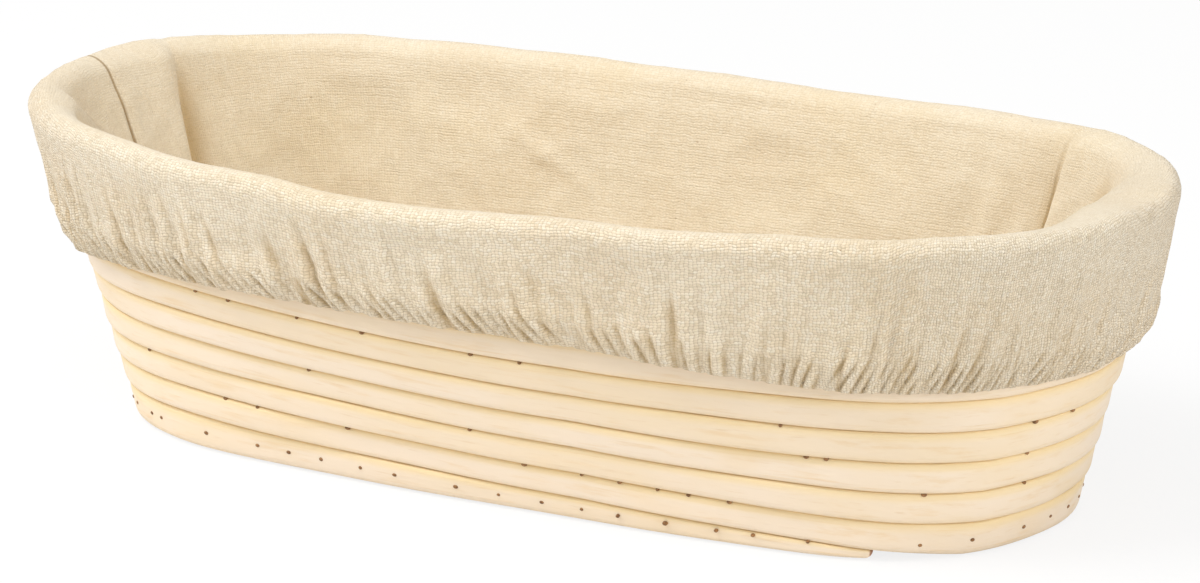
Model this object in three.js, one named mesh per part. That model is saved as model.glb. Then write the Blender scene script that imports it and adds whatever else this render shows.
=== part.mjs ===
// Oval proofing basket: a wall wound from one length of rattan cane, a flat base wound round a
// straight core, and a cloth liner folded over the rim and held outside by an elastic hem.
// Millimetres, +X along the length, front side at -Y, +Z up, standing on z = 0.
import * as THREE from "three";

// Outlines of the wall's outer face at the foot and at the rim: half length, half width, and how far
// the long sides bow out. The rim rises towards the ends.
const FOOT_HALF_LENGTH = 126;
const FOOT_HALF_WIDTH = 49.2;
const FOOT_BOW = 4.8;
const RIM_HALF_LENGTH = 148.7;
const RIM_HALF_WIDTH = 67.4;
const RIM_BOW = 15;
const WALL_HEIGHT = 75.4;
const END_RISE = 4;

// Cane: thickness across the wall, bevel of its edges, gap between courses, and how much more
// upright than the wall each course stands, in millimetres for each millimetre of height.
const CANE_THICKNESS = 5.4;
const CANE_BEVEL = 1.4;
const COURSE_GAP = 0.5;
const COURSE_SET = 0.1;

// The wall packs one course more on the tight side, where the lower end slips under.
const TIGHT_COURSES = 11;
const LOOSE_COURSES = TIGHT_COURSES - 1;
const LOWER_END_SHARE = 0.928;
const LOWER_RAMP_TURNS = 0.15;
const LOWER_TIP_SHARE = 0.35;
const UPPER_RAMP_START = 0.66;
const UPPER_RAMP_TURNS = 0.16;
const UPPER_TIP_SHARE = 0.65;

// Base: a flat spiral inside the lowest course, round a lens that holds the core.
const BASE_HEIGHT = 6.6;
const BASE_CLEARANCE = 0.4;
const LENS_OFFSET = 0.5;
const BASE_RAMP_START = 0.545;
const BASE_RAMP_TURNS = 0.16;
const BASE_TIP_SHARE = 0.6;

// Cloth liner.
const CLOTH = 0.7;
const LINER_CLEARANCE = 0.3;
const LINER_CORNER_RADIUS = 10;
const HEM_HEIGHT = 45;
const ELASTIC_WIDTH = 5;
const ELASTIC_THICKNESS = 0.7;
const CASING_CLEARANCE = 0.3;
const HEM_BLEND = 10;
const FOLD_DEPTH = 0.9;
const FOLD_COUNT = 39;

// Facets: stations round one turn lie closer together where the outline bends.
const STATIONS = 28;
const BEND_WEIGHT = 50;
const TABLE_STEPS = 6000;
const ROUND_STEPS = 4;
const GAP_SAMPLES = 4;
const LEAST_FLAT = 0.1;

const TIGHT_PITCH = (WALL_HEIGHT + COURSE_GAP) / TIGHT_COURSES;
const LOOSE_PITCH = (WALL_HEIGHT + COURSE_GAP) / LOOSE_COURSES;
const TIGHT_FACE = TIGHT_PITCH - COURSE_GAP;
const LOOSE_FACE = LOOSE_PITCH - COURSE_GAP;

const { lerp, clamp } = THREE.MathUtils;

// An oval is a slender ellipse, the spine, offset by an even distance. Its table holds points counted
// anticlockwise from +X by length and bend, each with its outward direction and its rise.
function ovalTable(halfLength, halfWidth, bow) {
  const distance = halfWidth - bow;
  const spine = halfLength - distance;
  const table = [];
  for (let i = 0; i <= TABLE_STEPS; i += 1) {
    const theta = (i / TABLE_STEPS) * 2 * Math.PI;
    const out = new THREE.Vector2(bow * Math.cos(theta), spine * Math.sin(theta)).normalize();
    const place = new THREE.Vector2(spine * Math.cos(theta), bow * Math.sin(theta));
    place.addScaledVector(out, distance);
    const before = table[i - 1];
    const bend = before ? BEND_WEIGHT * out.distanceTo(before.out) : 0;
    const along = before ? before.along + place.distanceTo(before.place) + bend : 0;
    table.push({ along, place, out, rise: Math.cos(theta) ** 2 });
  }
  return table;
}

const footTable = ovalTable(FOOT_HALF_LENGTH, FOOT_HALF_WIDTH, FOOT_BOW);
const rimTable = ovalTable(RIM_HALF_LENGTH, RIM_HALF_WIDTH, RIM_BOW);

function lookUp(table, share) {
  const target = (share - Math.floor(share)) * table[TABLE_STEPS].along;
  let low = 0;
  let high = TABLE_STEPS;
  while (high - low > 1) {
    const middle = (low + high) >> 1;
    if (table[middle].along <= target) low = middle;
    else high = middle;
  }
  const [a, b] = [table[low], table[high]];
  const part = (target - a.along) / (b.along - a.along);
  return {
    place: a.place.clone().lerp(b.place, part),
    out: a.out.clone().lerp(b.out, part).normalize(),
    rise: lerp(a.rise, b.rise, part),
  };
}

// A point of the wall: turns are counted clockwise from the cane's lower end, the offset is measured
// outwards from the outer face, z at the middle of a side. What is above the level height rises.
function pointAt(turn, offset, z, level = BASE_HEIGHT) {
  const foot = lookUp(footTable, LOWER_END_SHARE - turn);
  const rim = lookUp(rimTable, LOWER_END_SHARE - turn);
  const share = z / WALL_HEIGHT;
  const place = foot.place.lerp(rim.place, share);
  place.addScaledVector(foot.out.lerp(rim.out, share).normalize(), offset);
  const rise = (END_RISE * rim.rise * Math.max(0, z - level)) / (WALL_HEIGHT - level);
  return new THREE.Vector3(place.x, place.y, z + rise);
}

// Whole stations strictly between two turn positions, with both ends added.
function stationsBetween(start, end) {
  const turns = [start];
  for (let i = Math.floor(start * STATIONS) + 1; i < end * STATIONS; i += 1) turns.push(i / STATIONS);
  turns.push(end);
  return turns;
}

// Skin over a row of equal rings: closed into a loop, or ended by fans about the ring centres.
function loft(rings, looped) {
  const size = rings[0].length;
  const points = rings.flat();
  const faces = [];
  const spans = looped ? rings.length : rings.length - 1;
  for (let i = 0; i < spans; i += 1) {
    const here = i * size;
    const next = ((i + 1) % rings.length) * size;
    for (let j = 0; j < size; j += 1) {
      const k = (j + 1) % size;
      faces.push(here + j, here + k, next + k, here + j, next + k, next + j);
    }
  }
  if (!looped) {
    const last = (rings.length - 1) * size;
    const startCentre = points.length;
    const endCentre = startCentre + 1;
    points.push(centre(rings[0]), centre(rings[rings.length - 1]));
    for (let j = 0; j < size; j += 1) {
      const k = (j + 1) % size;
      faces.push(startCentre, k, j, endCentre, last + j, last + k);
    }
  }
  const geometry = new THREE.BufferGeometry().setFromPoints(points);
  geometry.setIndex(turnOutward(points, faces));
  return geometry;
}

function centre(ring) {
  const sum = new THREE.Vector3();
  for (const point of ring) sum.add(point);
  return sum.divideScalar(ring.length);
}

// Reverses the faces when they enclose a negative volume.
function turnOutward(points, faces) {
  let volume = 0;
  const cross = new THREE.Vector3();
  for (let i = 0; i < faces.length; i += 3) {
    cross.crossVectors(points[faces[i + 1]], points[faces[i + 2]]);
    volume += points[faces[i]].dot(cross);
  }
  return volume < 0 ? faces.reverse() : faces;
}

// Cane section as [outward, up] points: flat faces with bevelled edges.
function caneSection(thickness, face) {
  const flatOut = thickness / 2;
  const flatUp = face / 2;
  const edgeOut = Math.max(flatOut - CANE_BEVEL, flatOut * LEAST_FLAT);
  const edgeUp = Math.max(flatUp - CANE_BEVEL, flatUp * LEAST_FLAT);
  return [
    [flatOut, -edgeUp],
    [flatOut, edgeUp],
    [edgeOut, flatUp],
    [-edgeOut, flatUp],
    [-flatOut, edgeUp],
    [-flatOut, -edgeUp],
    [-edgeOut, -flatUp],
    [edgeOut, -flatUp],
  ];
}

// Height of the wall cane's centre, and of its face, at a position in turns from its lower end.
// The table and the rim plane thin its two ends to scarfs.
function wallCourse(turn) {
  const course = Math.floor(turn);
  const along = turn - course;
  const tightZ = course * TIGHT_PITCH + TIGHT_FACE / 2;
  const lowering = along < LOWER_RAMP_TURNS;
  const looseZ = (lowering ? course - 1 : course) * LOOSE_PITCH + LOOSE_FACE / 2;
  const rise = clamp((along - UPPER_RAMP_START) / UPPER_RAMP_TURNS, 0, 1);
  const tight = lowering ? along / LOWER_RAMP_TURNS : 1 - rise;
  const middle = lerp(looseZ, tightZ, tight);
  const half = lerp(LOOSE_FACE, TIGHT_FACE, tight) / 2;
  const foot = Math.max(middle - half, 0);
  const head = Math.min(middle + half, WALL_HEIGHT);
  return { z: (foot + head) / 2, face: head - foot };
}

const wallStart = LOWER_TIP_SHARE * LOWER_RAMP_TURNS;
const wallEnd = TIGHT_COURSES - 1 + UPPER_RAMP_START + UPPER_TIP_SHARE * UPPER_RAMP_TURNS;
const wallTurns = stationsBetween(wallStart, wallEnd);

function wallRing(turn) {
  const { z, face } = wallCourse(turn);
  return caneSection(CANE_THICKNESS, face).map(([out, up]) =>
    pointAt(turn, out - CANE_THICKNESS / 2 - up * COURSE_SET, z + up)
  );
}

const wallRings = wallTurns.map(wallRing);
const wallGeometry = loft(wallRings, false);

// Base loops, by their distance from the foot's spine: the innermost leaves a lens in the middle, the
// outermost lies inside the lowest course.
const footDistance = FOOT_HALF_WIDTH - FOOT_BOW;
const baseLimit = footDistance - CANE_THICKNESS - BASE_CLEARANCE;
const innerLoop = LENS_OFFSET + CANE_THICKNESS / 2;
const outerLoop = baseLimit - CANE_THICKNESS / 2;
const baseLoops = Math.floor((outerLoop - innerLoop) / (CANE_THICKNESS + COURSE_GAP)) + 1;
const basePitch = (outerLoop - innerLoop) / (baseLoops - 1);

function basePoint(turn, distance, z) {
  const { place, out } = lookUp(footTable, LOWER_END_SHARE - turn);
  place.addScaledVector(out, distance - footDistance);
  return new THREE.Vector3(place.x, place.y, z);
}

// The lens thins the inner end to a scarf, and the lowest wall course the outer end.
function baseRing(turn) {
  const loop = Math.floor(turn - BASE_RAMP_START);
  const along = turn - BASE_RAMP_START - loop;
  const middle = innerLoop + basePitch * (loop - 1 + clamp(along / BASE_RAMP_TURNS, 0, 1));
  const inner = Math.max(middle, innerLoop) - CANE_THICKNESS / 2;
  const outer = Math.min(middle + CANE_THICKNESS / 2, baseLimit);
  const distance = (inner + outer) / 2;
  return caneSection(outer - inner, BASE_HEIGHT).map(([out, up]) =>
    basePoint(turn, distance + out, up + BASE_HEIGHT / 2)
  );
}

const baseStart = BASE_RAMP_START + (1 - BASE_TIP_SHARE) * BASE_RAMP_TURNS;
const baseEnd = BASE_RAMP_START + baseLoops + BASE_TIP_SHARE * BASE_RAMP_TURNS;
const baseRings = stationsBetween(baseStart, baseEnd).map(baseRing);
const baseGeometry = loft(baseRings, false);

// The core is as long as the lens is where the core's edges meet it.
const coreEdge = CANE_THICKNESS / 2 + COURSE_GAP - LENS_OFFSET;
const coreHalf = (FOOT_HALF_LENGTH - footDistance) * Math.sqrt(1 - (coreEdge / FOOT_BOW) ** 2) - COURSE_GAP;
const coreRings = [-coreHalf, coreHalf].map((x) =>
  caneSection(CANE_THICKNESS, BASE_HEIGHT).map(([out, up]) => new THREE.Vector3(x, out, up + BASE_HEIGHT / 2))
);
const coreGeometry = loft(coreRings, false);

// The courses stand out from the wall's mean face by a small step at their edges.
const step = (LOOSE_FACE / 2 - CANE_BEVEL) * COURSE_SET;
const rimZ = WALL_HEIGHT - CANE_THICKNESS / 2;
const roll = Math.hypot(CANE_THICKNESS / 2 - CANE_BEVEL, CANE_THICKNESS / 2) + 2 * LINER_CLEARANCE;
const floorZ = BASE_HEIGHT + LINER_CLEARANCE;

// Liner bag: floor, rounded corner, wall and the inner half of the roll over the rim.
const bagOffset = -CANE_THICKNESS - step - LINER_CLEARANCE;
const cornerZ = floorZ + LINER_CORNER_RADIUS;
const cornerOffset = bagOffset - LINER_CORNER_RADIUS;

function rollPoint(angle, depth) {
  return [-CANE_THICKNESS / 2 + (roll + depth) * Math.cos(angle), rimZ + (roll + depth) * Math.sin(angle)];
}

// One side of the cloth, from the floor up to the crest; depth is measured into the hollow.
function bagSide(depth) {
  const side = [];
  for (let i = 0; i <= ROUND_STEPS; i += 1) {
    const angle = lerp(-Math.PI / 2, 0, i / ROUND_STEPS);
    const radius = LINER_CORNER_RADIUS - depth;
    side.push([cornerOffset + radius * Math.cos(angle), cornerZ + radius * Math.sin(angle)]);
  }
  for (let i = 0; i <= ROUND_STEPS; i += 1) {
    side.push(rollPoint(lerp(Math.PI, Math.PI / 2, i / ROUND_STEPS), depth));
  }
  return side;
}

const ring = [...Array(STATIONS).keys()].map((i) => i / STATIONS);
const bagProfile = [...bagSide(0), ...bagSide(CLOTH).reverse()];
const bagRings = bagProfile.map(([offset, z]) => ring.map((turn) => pointAt(turn, offset, z)));
const bagGeometry = loft(bagRings, false);

// Liner skirt: outer half of the roll, then down the wall to a level casing folded up inside.
function skirtFace(z, depth) {
  return [step + LINER_CLEARANCE + depth, z];
}

const pocket = ELASTIC_THICKNESS + 2 * CASING_CLEARANCE;
const pocketZ = HEM_HEIGHT + CLOTH;
const casingZ = pocketZ + ELASTIC_WIDTH + 2 * CASING_CLEARANCE;
const blendZ = casingZ + HEM_BLEND;
const layer = CLOTH + pocket;
const split = Math.PI / 2 - LINER_CLEARANCE / roll;

// The folds stand out from the cloth's outer face and fade upwards.
function skirtProfile(fold) {
  return [
    rollPoint(split, CLOTH),
    rollPoint(split / 2, CLOTH),
    skirtFace(rimZ, CLOTH),
    skirtFace(blendZ, CLOTH + fold / 2),
    skirtFace(casingZ, layer + CLOTH + fold),
    skirtFace(HEM_HEIGHT, layer + CLOTH + fold),
    skirtFace(HEM_HEIGHT, 0),
    skirtFace(casingZ, 0),
    skirtFace(casingZ, CLOTH),
    skirtFace(pocketZ, CLOTH),
    skirtFace(pocketZ, layer),
    skirtFace(casingZ, layer),
    skirtFace(blendZ, 0),
    skirtFace(rimZ, 0),
    rollPoint(split / 2, 0),
    rollPoint(split, 0),
  ];
}

const foldTurns = [...Array(2 * FOLD_COUNT).keys()].map((i) => i / (2 * FOLD_COUNT));
const skirtRings = foldTurns.map((turn, i) =>
  skirtProfile(i % 2 ? FOLD_DEPTH : 0).map(([offset, z]) => pointAt(turn, offset, z, HEM_HEIGHT))
);
const skirtGeometry = loft(skirtRings, true);

// Elastic band: a plain loop standing in the casing.
const elasticFoot = pocketZ + CASING_CLEARANCE;
const elasticProfile = [
  skirtFace(elasticFoot, CLOTH + CASING_CLEARANCE),
  skirtFace(elasticFoot, CLOTH + CASING_CLEARANCE + ELASTIC_THICKNESS),
  skirtFace(elasticFoot + ELASTIC_WIDTH, CLOTH + CASING_CLEARANCE + ELASTIC_THICKNESS),
  skirtFace(elasticFoot + ELASTIC_WIDTH, CLOTH + CASING_CLEARANCE),
];
const elasticRings = foldTurns.map((turn) =>
  elasticProfile.map(([offset, z]) => pointAt(turn, offset, z, HEM_HEIGHT))
);
const elasticGeometry = loft(elasticRings, true);

// Least gap of a wound cane to itself, on points spread along the edges of its rings.
function leastGap(rings) {
  const dense = rings.map((points) => points.flatMap((point, j) => {
    const next = points[(j + 1) % points.length];
    return [...Array(GAP_SAMPLES).keys()].map((k) => point.clone().lerp(next, k / GAP_SAMPLES));
  }));
  let least = Infinity;
  for (let i = 0; i < dense.length; i += 1) {
    for (let j = i + Math.floor(STATIONS / 2); j < dense.length; j += 1) {
      if (centre(rings[i]).distanceTo(centre(rings[j])) > LOOSE_PITCH + CANE_THICKNESS) continue;
      for (const a of dense[i]) {
        for (const b of dense[j]) least = Math.min(least, a.distanceTo(b));
      }
    }
  }
  return least;
}

console.log(`wall_cane least gap to itself ${leastGap(wallRings).toFixed(2)} mm`);
console.log(`base_cane least gap to itself ${leastGap(baseRings).toFixed(2)} mm`);

const cane = new THREE.MeshStandardMaterial({ color: 0xf2dcb6, roughness: 0.55, metalness: 0 });
cane.name = "rattan";
const linen = new THREE.MeshStandardMaterial({ color: 0xe3d5b9, roughness: 0.95, metalness: 0 });
linen.name = "linen";
const elastic = new THREE.MeshStandardMaterial({ color: 0xf1eee6, roughness: 0.8, metalness: 0 });
elastic.name = "elastic";

function part(name, geometry, material) {
  const mesh = new THREE.Mesh(geometry, material);
  mesh.name = name;
  return mesh;
}

const basket = new THREE.Group();
basket.name = "basket";
basket.add(
  part("wall_cane", wallGeometry, cane),
  part("base_cane", baseGeometry, cane),
  part("base_core", coreGeometry, cane)
);

const liner = new THREE.Group();
liner.name = "liner";
liner.add(
  part("liner_bag", bagGeometry, linen),
  part("liner_skirt", skirtGeometry, linen),
  part("hem_elastic", elasticGeometry, elastic)
);

const proofingBasket = new THREE.Group();
proofingBasket.name = "proofing_basket";
proofingBasket.add(basket, liner);

export default proofingBasket;
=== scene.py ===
import math

import bpy
import numpy as np
from mathutils import Matrix, Vector


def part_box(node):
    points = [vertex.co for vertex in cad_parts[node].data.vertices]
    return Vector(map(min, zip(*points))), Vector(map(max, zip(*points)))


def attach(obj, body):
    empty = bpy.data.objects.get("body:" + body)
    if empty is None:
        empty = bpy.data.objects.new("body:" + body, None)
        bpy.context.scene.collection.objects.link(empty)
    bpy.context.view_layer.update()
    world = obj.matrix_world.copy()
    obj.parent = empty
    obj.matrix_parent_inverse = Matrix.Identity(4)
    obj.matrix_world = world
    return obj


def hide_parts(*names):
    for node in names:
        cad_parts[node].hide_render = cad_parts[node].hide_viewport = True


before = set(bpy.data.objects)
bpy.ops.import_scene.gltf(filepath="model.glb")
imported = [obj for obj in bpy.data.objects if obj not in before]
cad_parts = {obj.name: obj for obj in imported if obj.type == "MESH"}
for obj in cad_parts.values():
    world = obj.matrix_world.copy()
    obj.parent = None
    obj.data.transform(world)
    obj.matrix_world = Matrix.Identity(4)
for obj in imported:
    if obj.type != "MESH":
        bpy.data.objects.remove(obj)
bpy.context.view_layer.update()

MM = 0.001
TAU = 2 * math.pi

# Sizes of the solid model, in millimetres. An oval is given by its half length, half width and bow.
# A share is a place in the turn, counted anticlockwise from +X.
FOOT = (126.0, 49.2, 4.8)
RIM = (148.7, 67.4, 15.0)
WALL_HEIGHT = 75.4
END_RISE = 4.0
CANE = 5.4
COURSE_GAP = 0.5
COURSE_SET = 0.1
TIGHT_COURSES = 11
LOOSE_COURSES = 10
LOWER_END_SHARE = 0.928
LOWER_RAMP = 0.15
LOWER_TIP = 0.35
UPPER_START = 0.66
UPPER_RAMP = 0.16
UPPER_TIP = 0.65
BASE_HEIGHT = 6.6
BASE_CLEARANCE = 0.4
LENS = 0.5
BASE_START = 0.545
BASE_RAMP = 0.16
BASE_TIP = 0.6
HEM = 45.0
ROLL = 3.6
FLOOR_Z = 6.9
CORNER = 10.0
BEND_WEIGHT = 50.0

# Looks of the cane: counts, millimetres and shares of a turn.
SEEN_GAP = 0.06
WALL_STATIONS, WALL_SIDES, WALL_POWER, WALL_ROUNDING = 290, 24, 6.0, 0.0032
BASE_STATIONS, BASE_SIDES, BASE_POWER, BASE_ROUNDING = 200, 18, 3.6, 0.004
CORE_STATIONS, CORE_ROUNDING, CORE_GAP = 60, 0.02, 0.6
CANE_GIRTH = 22.0
WALL_TURN_LENGTH, BASE_TURN_LENGTH = 640.0, 380.0
SWAY, LEAN = 0.16, 0.02
COVERED_FROM, COVERED_TO = 42.0, 50.0
PULL_LOSS = 0.7
FOOT_HELD, RIM_HELD = 7.0, 12.0
END_STEPS, END_LEAST = (0.0, 0.06, 0.2, 0.42, 0.7), 0.02
CURVE_STEPS, OVAL_STEPS = 1440, 6000
ROUND_STEP, UP_STEP = 1e-4, 0.5


def smooth(x, low, high):
    t = np.clip((x - low) / (high - low), 0.0, 1.0)
    return t * t * (3 - 2 * t)


def apart(share, centre):
    """How far one place of the turn lies past another, from -0.5 to 0.5."""
    return np.mod(share - centre + 0.5, 1.0) - 0.5


def bump(share, centre, width):
    """A rounded peak of height 1 at one place of the turn."""
    return np.exp(-((apart(share, centre) / width) ** 2))


def at_level(z, level, width):
    """A rounded peak of height 1 at one height."""
    return np.exp(-(((z - level) / width) ** 2))


def around(knots, blur=0.012):
    """A smooth curve round the turn through (share, value) knots."""
    places, values = np.array(sorted(knots)).T
    grid = np.arange(CURVE_STEPS) / CURVE_STEPS
    raw = np.interp(grid, places, values, period=1.0)
    away = np.minimum(grid, 1 - grid)
    kernel = np.exp(-((away / blur) ** 2))
    soft = np.real(np.fft.ifft(np.fft.fft(raw) * np.fft.fft(kernel / kernel.sum())))
    return lambda share: np.interp(np.mod(share, 1.0), grid, soft, period=1.0)


def ripple(seed, count, turns, heights):
    """A smooth random field over (share, z): turns waves round the basket, heights waves up the wall."""
    rng = np.random.default_rng(seed)
    waves = rng.integers(turns[0], turns[1] + 1, count)
    climbs = rng.uniform(heights[0], heights[1], count) * rng.choice([-1, 1], count)
    phases = rng.uniform(0, TAU, count)

    def field(share, z):
        share, z = np.broadcast_arrays(np.asarray(share, float), np.asarray(z, float))
        total = np.zeros(share.shape)
        for wave, climb, phase in zip(waves, climbs, phases):
            total += np.cos(TAU * (wave * share + climb * z / WALL_HEIGHT) + phase)
        return total / math.sqrt(count / 2)

    return field


# The outline: a slender ellipse offset by an even distance, as tables counted anticlockwise from +X.
def oval_table(half_length, half_width, bow):
    distance = half_width - bow
    spine = half_length - distance
    theta = np.linspace(0, TAU, OVAL_STEPS + 1)
    out = np.stack([bow * np.cos(theta), spine * np.sin(theta)], 1)
    out /= np.linalg.norm(out, axis=1)[:, None]
    core = np.stack([spine * np.cos(theta), bow * np.sin(theta)], 1)
    place = core + distance * out
    steps = np.linalg.norm(np.diff(place, axis=0), axis=1)
    steps += BEND_WEIGHT * np.linalg.norm(np.diff(out, axis=0), axis=1)
    along = np.concatenate([[0.0], np.cumsum(steps)])
    return along / along[-1], place, out, np.cos(theta) ** 2, core


FOOT_TABLE = oval_table(*FOOT)
RIM_TABLE = oval_table(*RIM)


def pair_at(share, shares, pairs):
    return np.stack([np.interp(share, shares, pairs[:, i]) for i in (0, 1)], -1)


def look_up(table, share):
    """Place on an oval, its outward direction, and how close it is to an end."""
    share = np.mod(share, 1.0)
    out = pair_at(share, table[0], table[2])
    out /= np.linalg.norm(out, axis=-1)[..., None]
    return pair_at(share, table[0], table[1]), out, np.interp(share, table[0], table[3])


rim_lift = around([
    (0.118, 0.2), (0.154, -0.1), (0.18, 0.25), (0.205, 0.65), (0.229, 0.5), (0.252, 1.2), (0.276, 1.35),
    (0.30, 1.0), (0.324, 0.9), (0.35, -0.7), (0.38, -1.25), (0.417, -1.2), (0.46, 0.2), (0.5, 0.0),
    (0.6, 0.0), (0.65, -0.5), (0.674, -0.2), (0.693, 0.1), (0.716, -0.3), (0.738, 0.0), (0.764, 1.1),
    (0.778, 1.4), (0.805, 1.1), (0.831, 1.1), (0.858, 0.75), (0.873, 0.2), (0.887, 0.4), (0.914, 0.8),
    (0.95, 0.3), (0.0, 0.0)], 0.011)
left_pull = around([(0.44, 0.0), (0.5, -0.7), (0.56, -1.3), (0.62, -0.9), (0.68, 0.0), (0.0, 0.0)], 0.02)


def point_at(share, offset, z, level=BASE_HEIGHT):
    """A point of the wall, by place in the turn, offset from the outer face and height.

    The ends rise only above the level.
    """
    share, offset, z, level = np.broadcast_arrays(share, offset, z, np.asarray(level, float))
    foot, foot_out, _ = look_up(FOOT_TABLE, share)
    rim, rim_out, rise = look_up(RIM_TABLE, share)
    part = (z / WALL_HEIGHT)[..., None]
    out = foot_out + (rim_out - foot_out) * part
    out /= np.linalg.norm(out, axis=-1)[..., None]
    shift = offset + left_pull(share) * (1 - PULL_LOSS * np.clip(z / WALL_HEIGHT, 0, 1) ** 2)
    flat = foot + (rim - foot) * part + out * shift[..., None]
    lifted = z + END_RISE * rise * np.maximum(0, z - level) / (WALL_HEIGHT - level)
    lifted = lifted + rim_lift(share) * np.clip(z / WALL_HEIGHT, 0, 1.1) ** 3
    return np.concatenate([flat, lifted[..., None]], -1)


def outward(share, z):
    """Unit direction that stands square to the wall's outer face."""
    across = point_at(share + ROUND_STEP, 0.0, z) - point_at(share - ROUND_STEP, 0.0, z)
    up = point_at(share, 0.0, z + UP_STEP) - point_at(share, 0.0, z - UP_STEP)
    normal = np.cross(across, up)
    return normal / np.linalg.norm(normal, axis=-1)[..., None]


# Meshes from arrays.
def build(name, verts, faces):
    mesh = bpy.data.meshes.new(name)
    mesh.from_pydata((np.asarray(verts) * MM).tolist(), [], faces)
    mesh.polygons.foreach_set("use_smooth", [True] * len(mesh.polygons))
    mesh.update()
    piece = bpy.data.objects.new(name, mesh)
    bpy.context.scene.collection.objects.link(piece)
    return piece


def add_uv(piece, name, coords):
    layer = piece.data.uv_layers.new(name=name)
    layer.data.foreach_set("uv", np.asarray(coords, np.float32).ravel())


def add_values(piece, name, values):
    layer = piece.data.attributes.new(name, "FLOAT", "POINT")
    layer.data.foreach_set("value", np.asarray(values, np.float32).ravel())


def tube_faces(rings, size, closed=False):
    """Quads between the rings of a tube, and the ring and side of each of their corners."""
    count = rings if closed else rings - 1
    i, j = np.meshgrid(np.arange(count), np.arange(size), indexing="ij")
    ring = np.stack([i, i, i + 1, i + 1], -1).reshape(-1, 4)
    side = np.stack([j, j + 1, j + 1, j], -1).reshape(-1, 4)
    quads = (ring % rings) * size + side % size
    return quads, ring, side


def superellipse(count, power):
    angle = (np.arange(count) + 0.5) / count * TAU
    across, up = np.cos(angle), np.sin(angle)
    return np.sign(across) * np.abs(across) ** (2 / power), np.sign(up) * np.abs(up) ** (2 / power)


def end_stations(start, end, per_turn, tip):
    """Even stations along a cane, with a few more close to its two rounded ends."""
    inner = np.linspace(start + tip, end - tip, int((end - start) * per_turn))
    near = tip * np.array(END_STEPS)
    return np.concatenate([start + near, inner, end - near[::-1]])


def rounded_ends(turns, tip):
    """The part of its full size that the section has at each station, as a column."""
    away = np.clip(np.minimum(turns - turns[0], turns[-1] - turns) / tip, 0, 1)
    return np.sqrt(np.clip(1 - (1 - away) ** 2, END_LEAST, 1))[:, None]


# Baked picture of a cane: a strip for each turn, with the cut ends in the last corner.
BAKE_LEFT, BAKE_LENGTH, BAKE_END = 0.01, 0.97, 0.995
STRIP_LOW, STRIP_SPAN = 0.04, 0.92


def cane_piece(name, points, turns, turn_length, edge):
    """A swept cane with closed ends, and maps for its grain, its baking, its edges and its cut ends."""
    rings, size = points.shape[:2]
    quads, ring, side = tube_faces(rings, size)
    start, end = rings * size, rings * size + 1
    verts = np.concatenate([points.reshape(-1, 3), points[0].mean(0)[None], points[-1].mean(0)[None]])
    fan = np.arange(size)
    head = np.stack([np.full(size, start), (fan + 1) % size, fan], -1)
    last = (rings - 1) * size
    tail = np.stack([np.full(size, end), last + fan, last + (fan + 1) % size], -1)
    piece = build(name, verts, quads.tolist() + head.tolist() + tail.tolist())
    metres = turns * turn_length * MM
    grain = np.stack([metres[ring], side / size * CANE_GIRTH * MM], -1).reshape(-1, 2)
    fan_uv = np.zeros((2 * size * 3, 2))
    add_uv(piece, "grain", np.concatenate([grain, fan_uv]))
    strips = int(turns[-1] - turns[0]) + 2
    turn = np.floor(turns[ring[:, :1]] - turns[0])
    along = BAKE_LEFT + BAKE_LENGTH * np.clip(turns[ring] - turns[0] - turn, 0, 1.01)
    bake = np.stack([along, (turn + STRIP_LOW + STRIP_SPAN * side / size) / strips], -1)
    add_uv(piece, "OFBake", np.concatenate([bake.reshape(-1, 2), fan_uv + BAKE_END]))
    # The edge map places the painted shade at the top, the underside and the grooves of each course.
    add_values(piece, "edge", np.concatenate([np.broadcast_to(edge, (rings, size)).ravel(), [0.0, 0.0]]))
    cut = np.zeros((rings, size))
    cut[:3] = cut[-3:] = 1.0
    cut[3] = cut[-4] = 0.5
    add_values(piece, "cut", np.concatenate([cut.ravel(), [1.0, 1.0]]))
    return piece


# Wall cane.
TIGHT_PITCH = (WALL_HEIGHT + COURSE_GAP) / TIGHT_COURSES
LOOSE_PITCH = (WALL_HEIGHT + COURSE_GAP) / LOOSE_COURSES
course_shift = around([(0.50, 1.4), (0.60, 2.0), (0.65, 2.2), (0.707, 0.7), (0.754, -0.8), (0.788, -1.1),
                       (0.833, -0.5), (0.869, 0.0), (0.952, 1.1), (0.0, 1.0), (0.25, -0.4)])
sway = ripple(3, 14, (2, 16), (1.0, 6.0))
lean = ripple(5, 12, (2, 12), (2.0, 8.0))


def wall_course(turn):
    """Middle and height of the cane at a turn, where its courses go from tight to loose and back."""
    course = np.floor(turn)
    along = turn - course
    lowering = along < LOWER_RAMP
    tight_z = course * TIGHT_PITCH + (TIGHT_PITCH - COURSE_GAP) / 2
    loose_z = np.where(lowering, course - 1, course) * LOOSE_PITCH + (LOOSE_PITCH - COURSE_GAP) / 2
    climb = np.clip((along - UPPER_START) / UPPER_RAMP, 0, 1)
    tight = np.where(lowering, along / LOWER_RAMP, 1 - climb)
    middle = loose_z + (tight_z - loose_z) * tight
    half = (LOOSE_PITCH + (TIGHT_PITCH - LOOSE_PITCH) * tight - SEEN_GAP) / 2
    foot = np.maximum(middle - half, 0.0)
    head = np.minimum(middle + half, WALL_HEIGHT)
    return (foot + head) / 2, head - foot


def shift_courses(share, z):
    """Courses dip and rise between the level foot and the rim."""
    held = np.clip(z / FOOT_HELD, 0, 1) * np.clip((WALL_HEIGHT - z) / RIM_HELD, 0, 1)
    return z + course_shift(share) * held


def stand_out(share, level):
    """How far a course stands out of the wall's face: only below the skirt, which lies close to the wall."""
    return SWAY * sway(share, level) * (1 - smooth(level, COVERED_FROM, COVERED_TO))


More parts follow.
